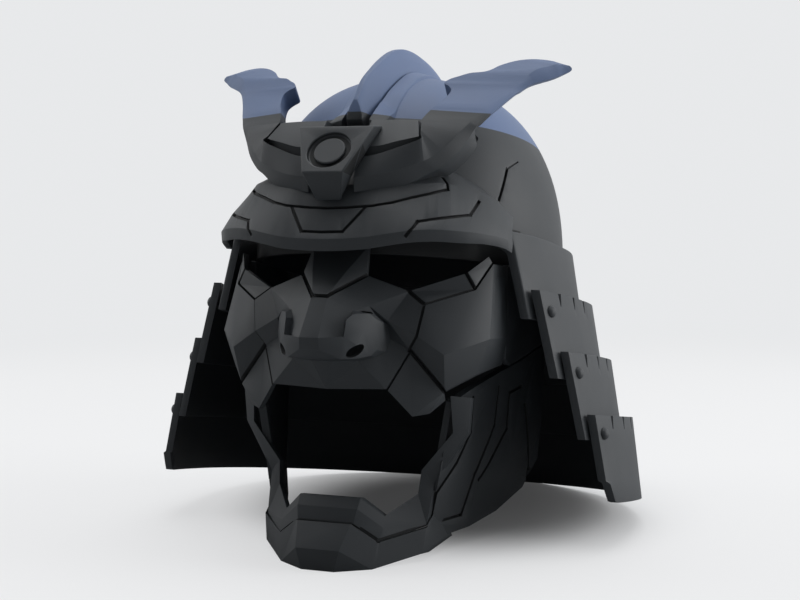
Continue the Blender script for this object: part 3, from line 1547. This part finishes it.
@dataclass
class Stamp:
    """A small shape along its own +Z, which a Geometry Nodes tree sets at many places."""

    name: str
    shape: bpy.types.Mesh

    @staticmethod
    def dome(radius: float, rise: float, columns: int = 28, rows: int = 16) -> bpy.types.Mesh:
        """A round head whose lower half sinks into what it sits on.

        Args:
            radius: Its radius in metres.
            rise: How far its top stands out.
            columns: Faces round it.
            rows: Faces from pole to pole.

        Returns:
            The shape.
        """
        mesh = bpy.data.meshes.new("dome_shape")
        work = bmesh.new()
        bmesh.ops.create_uvsphere(work, u_segments=columns, v_segments=rows, radius=radius)
        for corner in work.verts:
            corner.co.z *= rise / radius
        work.to_mesh(mesh)
        work.free()
        return mesh

    @staticmethod
    def wedge(width: float, depth: float, length: float, point_share: float = 0.24,
              overrun: float = 0.25) -> bpy.types.Mesh:
        """A V-shaped bar along its own Z, with its point towards -Y.

        Args:
            width: Its width at the edge that it cuts, in metres.
            depth: How deep it cuts.
            length: Its length.
            point_share: Its width at the point, as a share of the width.
            overrun: How far it stands out of the edge, as a share of the depth.

        Returns:
            The shape.
        """
        mesh = bpy.data.meshes.new("wedge_shape")
        half, point, over = 0.5 * width, 0.5 * point_share * width, overrun * depth
        corners = [(half, over), (-half, over), (-point, -depth), (point, -depth)]
        points = [(x, y, z) for z in (-0.5 * length, 0.5 * length) for x, y in corners]
        faces = [(3, 2, 1, 0), (4, 5, 6, 7)]
        faces += [(i, (i + 1) % 4, 4 + (i + 1) % 4, 4 + i) for i in range(4)]
        mesh.from_pydata(points, [], faces)
        work = bmesh.new()
        work.from_mesh(mesh)
        bmesh.ops.recalc_face_normals(work, faces=work.faces)
        work.to_mesh(mesh)
        work.free()
        return mesh

    def tree(self, material: bpy.types.Material | None) -> bpy.types.NodeTree:
        """The tree that sets the shape on every point of a mesh.

        Args:
            material: Material of the result.

        Returns:
            The geometry tree.
        """
        group = bpy.data.node_groups.new(self.name, "GeometryNodeTree")
        group.interface.new_socket("Geometry", in_out="INPUT", socket_type="NodeSocketGeometry")
        group.interface.new_socket("Shape", in_out="INPUT", socket_type="NodeSocketObject")
        group.interface.new_socket("Geometry", in_out="OUTPUT", socket_type="NodeSocketGeometry")
        nodes = Nodes(group)
        source = nodes.add("NodeGroupInput", output="Geometry")
        shape_in = Sock(nodes, source.socket.node.outputs["Shape"])
        shape = nodes.add("GeometryNodeObjectInfo", values={"Object": shape_in},
                          output="Geometry")
        facing = nodes.add("GeometryNodeInputNamedAttribute", {"data_type": "FLOAT_VECTOR"},
                           {"Name": "facing"}, output="Attribute")
        upward = nodes.add("GeometryNodeInputNamedAttribute", {"data_type": "FLOAT_VECTOR"},
                           {"Name": "upward"}, output="Attribute")
        turned = nodes.add("FunctionNodeAxesToRotation",
                           {"primary_axis": "Z", "secondary_axis": "Y"},
                           {"Primary Axis": facing, "Secondary Axis": upward})
        placed = nodes.add("GeometryNodeInstanceOnPoints",
                           values={"Points": source, "Instance": shape, "Rotation": turned})
        real = nodes.add("GeometryNodeRealizeInstances", values={"Geometry": placed})
        painted = nodes.add("GeometryNodeSetMaterial",
                            values={"Geometry": real, "Material": material})
        nodes.add("NodeGroupOutput", values={"Geometry": painted})
        return group

    def press(self, name: str, places: Sequence[Vector], facing: Sequence[Vector],
              upward: Vector | None, material: bpy.types.Material | None = None
              ) -> bpy.types.Object:
        """Sets the shape at each place and returns the result as one plain mesh.

        Args:
            name: The new object's name.
            places: Where the shape goes.
            facing: Its direction at each place.
            upward: The direction of its own +Y, or None for any.
            material: Its material.

        Returns:
            The new object.
        """
        mesh = bpy.data.meshes.new(name)
        mesh.from_pydata([tuple(p) for p in places], [], [])
        for label, values in (("facing", facing),
                              ("upward", [upward or Vector((0.0, 0.0, 1.0))] * len(places))):
            layer = mesh.attributes.new(label, "FLOAT_VECTOR", "POINT")
            layer.data.foreach_set("vector", [v for value in values for v in value])
        item = bpy.data.objects.new(name, mesh)
        source = bpy.data.objects.new(name + "_shape", self.shape)
        for made in (item, source):
            bpy.context.scene.collection.objects.link(made)
        step = item.modifiers.new("set", "NODES")
        step.node_group = self.tree(material)
        sockets = {s.name: s.identifier for s in step.node_group.interface.items_tree
                   if s.in_out == "INPUT"}
        step[sockets["Shape"]] = source
        bpy.context.view_layer.update()
        graph = bpy.context.evaluated_depsgraph_get()
        baked = bpy.data.meshes.new_from_object(item.evaluated_get(graph),
                                                preserve_all_data_layers=True, depsgraph=graph)
        item.modifiers.clear()
        item.data = baked
        bpy.data.objects.remove(source)
        for label in ("facing", "upward"):
            if label in baked.attributes:
                baked.attributes.remove(baked.attributes[label])
        return item


# The grooves over each jaw panel.
JAW_GROOVES = (
    Groove(((70.4, -28.0, 117.0), (67.9, -14.0, 88.6), (52.9, -32.0, 61.8))),
    Groove(((77.7, 1.0, 123.0), (75.0, -9.0, 113.0), (71.8, -3.0, 92.0), (64.9, -10.0, 74.0),
            (56.3, -21.0, 56.5), (54.0, -22.0, 33.0))),
    Groove(((81.6, 18.0, 123.0), (78.7, 21.0, 99.0), (70.0, 10.5, 69.0), (62.9, 8.0, 44.0),
            (54.8, -19.0, 34.6))),
    Groove(((85.6, 44.0, 127.0), (83.9, 32.5, 120.5), (80.8, 35.5, 99.5), (70.9, 16.0, 65.6))),
    Groove(((86.9, 53.0, 115.0), (82.3, 63.0, 82.0), (77.9, 61.0, 51.0))),
    Groove(((75.9, 59.5, 44.0), (86.0, 67.0, 58.0), (95.0, 75.0, 73.0))),
)


@dataclass(frozen=True)
class Lamp:
    """A soft square light that faces the helmet, in metres and watts."""

    name: str
    place: Triple
    size: float
    power: float


@dataclass
class Studio:
    """The camera, the floor and the lights.

    The eye is upright and the angles are in radians. Lengths are in metres. The floor brightens
    with distance from the helmet's shade, and then fades into the backdrop.
    """

    eye: Triple = (0.360354, -0.916458, 0.105009)
    yaw: float = 0.3573
    pitch: float = -0.0714
    roll: float = 0.0533
    focal_pixels: float = 1459.92
    image_width: int = 800
    sensor: float = 36.0
    near: float = 0.01
    far: float = 60.0
    backdrop: Colour = (0.805, 0.815, 0.828, 1.0)
    floor: Colour = (0.740, 0.746, 0.752, 1.0)
    floor_light: Colour = (0.880, 0.885, 0.895, 1.0)
    floor_bounce: Colour = (0.380, 0.385, 0.390, 1.0)
    floor_lift: float = 0.60
    floor_radius: float = 14.0
    floor_rings: int = 24
    floor_sides: int = 64
    fade_from: float = 0.80
    fade_to: float = 1.45
    shade_middle: Triple = (0.03, 0.06, 0.0)
    shade_from: float = 0.07
    shade_to: float = 0.19
    shade_power: float = 1.3
    shade_least: float = 0.05
    bright_side: Triple = (0.10, 0.95, 0.30)
    bright_from: float = -0.3
    bright_to: float = 0.6
    surround_dim: float = 0.14
    surround_bright: float = 0.95
    aim: Triple = (0.0, 0.0, 0.15)
    lamps: tuple[Lamp, ...] = (
        Lamp("key_right", (1.7, 0.60, 0.60), 1.1, 20.0),
        Lamp("top_soft", (0.0, 0.10, 2.0), 1.6, 20.0),
        Lamp("left_soft", (-1.7, -0.2, 1.1), 0.9, 9.0),
    )

    def camera(self) -> bpy.types.Object:
        """Sets the camera at the photograph's place.

        Returns:
            The camera object.
        """
        forward = Vector((-math.sin(self.yaw) * math.cos(self.pitch),
                          math.cos(self.yaw) * math.cos(self.pitch), -math.sin(self.pitch)))
        level = Vector((math.cos(self.yaw), math.sin(self.yaw), 0.0))
        over = level.cross(forward)
        right = math.cos(self.roll) * level + math.sin(self.roll) * over
        up = -math.sin(self.roll) * level + math.cos(self.roll) * over
        axes = [REST.turn(axis) for axis in (right, up, -forward)]
        data = bpy.data.cameras.new("camera")
        data.sensor_width = self.sensor
        data.lens = self.focal_pixels * data.sensor_width / self.image_width
        data.clip_start = self.near
        data.clip_end = self.far
        item = bpy.data.objects.new("camera", data)
        item.matrix_world = (Matrix.Translation(REST.matrix() @ Vector(self.eye))
                             @ Matrix(axes).transposed().to_4x4())
        bpy.context.scene.collection.objects.link(item)
        bpy.context.scene.camera = item
        return item

    def floor_mesh(self) -> bpy.types.Mesh:
        """The floor's disc, in rings that grow wider outwards.

        Returns:
            The mesh.
        """
        work = bmesh.new()
        middle = work.verts.new((0.0, 0.0, 0.0))
        before: list[bmesh.types.BMVert] = []
        for step in range(1, self.floor_rings + 1):
            radius = self.floor_radius * (step / self.floor_rings) ** 2
            turns = [math.tau * side / self.floor_sides for side in range(self.floor_sides)]
            ring = [work.verts.new((radius * math.cos(turn), radius * math.sin(turn), 0.0))
                    for turn in turns]
            for i in range(self.floor_sides):
                k = (i + 1) % self.floor_sides
                if before:
                    work.faces.new((before[i], ring[i], ring[k], before[k]))
                else:
                    work.faces.new((middle, ring[i], ring[k]))
            before = ring
        mesh = bpy.data.meshes.new("floor")
        work.to_mesh(mesh)
        work.free()
        return mesh

    def floor_paint(self) -> bpy.types.Material:
        """The floor's paint, which only the camera sees lit up.

        Returns:
            The material.
        """
        material = bpy.data.materials.new("floor_paint")
        material.use_nodes = True
        nodes = Nodes(material.node_tree)
        place = nodes.add("ShaderNodeTexCoord", output="Object")
        fade = nodes.add("ShaderNodeVectorMath", {"operation": "LENGTH"}, {0: place},
                         output="Value").between(self.fade_from, self.fade_to)
        seen = nodes.add("ShaderNodeLightPath", output="Is Camera Ray")
        colour = nodes.mix(seen, self.floor_bounce, self.floor)
        paint = nodes.add("ShaderNodeBsdfPrincipled", values={
            "Base Color": colour, "Roughness": 0.9, "Specular IOR Level": 0.1})
        lift = nodes.add("ShaderNodeEmission", values={"Color": self.floor_light, "Strength": 1.0})
        clear = nodes.add("ShaderNodeVectorMath", {"operation": "DISTANCE"},
                          {0: place, 1: self.shade_middle},
                          output="Value").between(self.shade_from, self.shade_to)
        share = clear ** self.shade_power * self.floor_lift + self.shade_least
        lifted = nodes.add("ShaderNodeMixShader", values={0: seen * share, 1: paint, 2: lift})
        glow = nodes.add("ShaderNodeEmission", values={"Color": self.backdrop, "Strength": 1.0})
        both = nodes.add("ShaderNodeMixShader", values={0: fade, 1: lifted, 2: glow})
        nodes.add("ShaderNodeOutputMaterial", values={"Surface": both})
        return material

    def ground(self) -> bpy.types.Object:
        """Lays a plain pale floor that fades into the backdrop's colour.

        Returns:
            The floor object.
        """
        mesh = self.floor_mesh()
        mesh.materials.append(self.floor_paint())
        item = bpy.data.objects.new("floor", mesh)
        bpy.context.scene.collection.objects.link(item)
        return item

    def hang(self, lamp: Lamp) -> None:
        """Hangs one lamp and turns it to the helmet.

        Args:
            lamp: The lamp.
        """
        data = bpy.data.lights.new(lamp.name, "AREA")
        data.shape = "SQUARE"
        data.size = lamp.size
        data.energy = lamp.power
        item = bpy.data.objects.new(lamp.name, data)
        item.location = lamp.place
        item.rotation_euler = (Vector(self.aim) - Vector(lamp.place)).to_track_quat(
            "-Z", "Y").to_euler()
        bpy.context.scene.collection.objects.link(item)

    def lights(self) -> None:
        """Lights the scene with a pale surround and soft lamps."""
        world = bpy.data.worlds.new("surround")
        world.use_nodes = True
        nodes = Nodes(world.node_tree)
        seen = nodes.add("ShaderNodeLightPath", output="Is Camera Ray")
        way = nodes.add("ShaderNodeTexCoord", output="Generated")
        behind = nodes.add("ShaderNodeVectorMath", {"operation": "DOT_PRODUCT"},
                           {0: way, 1: self.bright_side},
                           output="Value").between(self.bright_from, self.bright_to)
        lamp = behind * (self.surround_bright - self.surround_dim) + self.surround_dim
        strength = seen * (1.0 - lamp) + lamp
        surface = nodes.add("ShaderNodeBackground", values={
            "Color": self.backdrop, "Strength": strength})
        nodes.add("ShaderNodeOutputWorld", values={"Surface": surface})
        bpy.context.scene.world = world
        for lamp in self.lamps:
            self.hang(lamp)
        bpy.context.scene.view_settings.view_transform = "Standard"
        bpy.context.scene.view_settings.look = "None"

    def build(self) -> None:
        """Sets up the whole studio."""
        self.camera()
        self.ground()
        self.lights()


# Solids whose shells are built from their own tables and not from the solid itself.
BUILT_ANEW = ("bowl", "visor", "neck_row", "rivet", "horn", "crest_wing", "crest_fin",
              "fin_rail", "nose_plate", "cheek_plate", "chin_guard", "mouth_rail")


def main() -> None:
    """Builds every piece in order."""
    logging.basicConfig(level=logging.INFO, format="%(message)s")
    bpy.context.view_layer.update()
    Studio().build()
    shop = Workshop(PrintFinish())
    Bowl(shop).build()
    Visor(shop).build()
    NeckGuard(shop).build()
    Crest(shop).build()
    Crown(shop).build()
    Mask(shop).build()
    plates = Plates(shop)
    for node in sorted(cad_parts):
        if node.startswith(BUILT_ANEW):
            continue
        mirror = -1.0 if node.endswith("_right") else 1.0
        grooves = JAW_GROOVES if node.startswith("jaw_side") else ()
        plates.build(node, MASK_JOINTS if node.startswith(MASK_PLATES) else grooves, mirror)


if __name__ == "__main__":
    main()
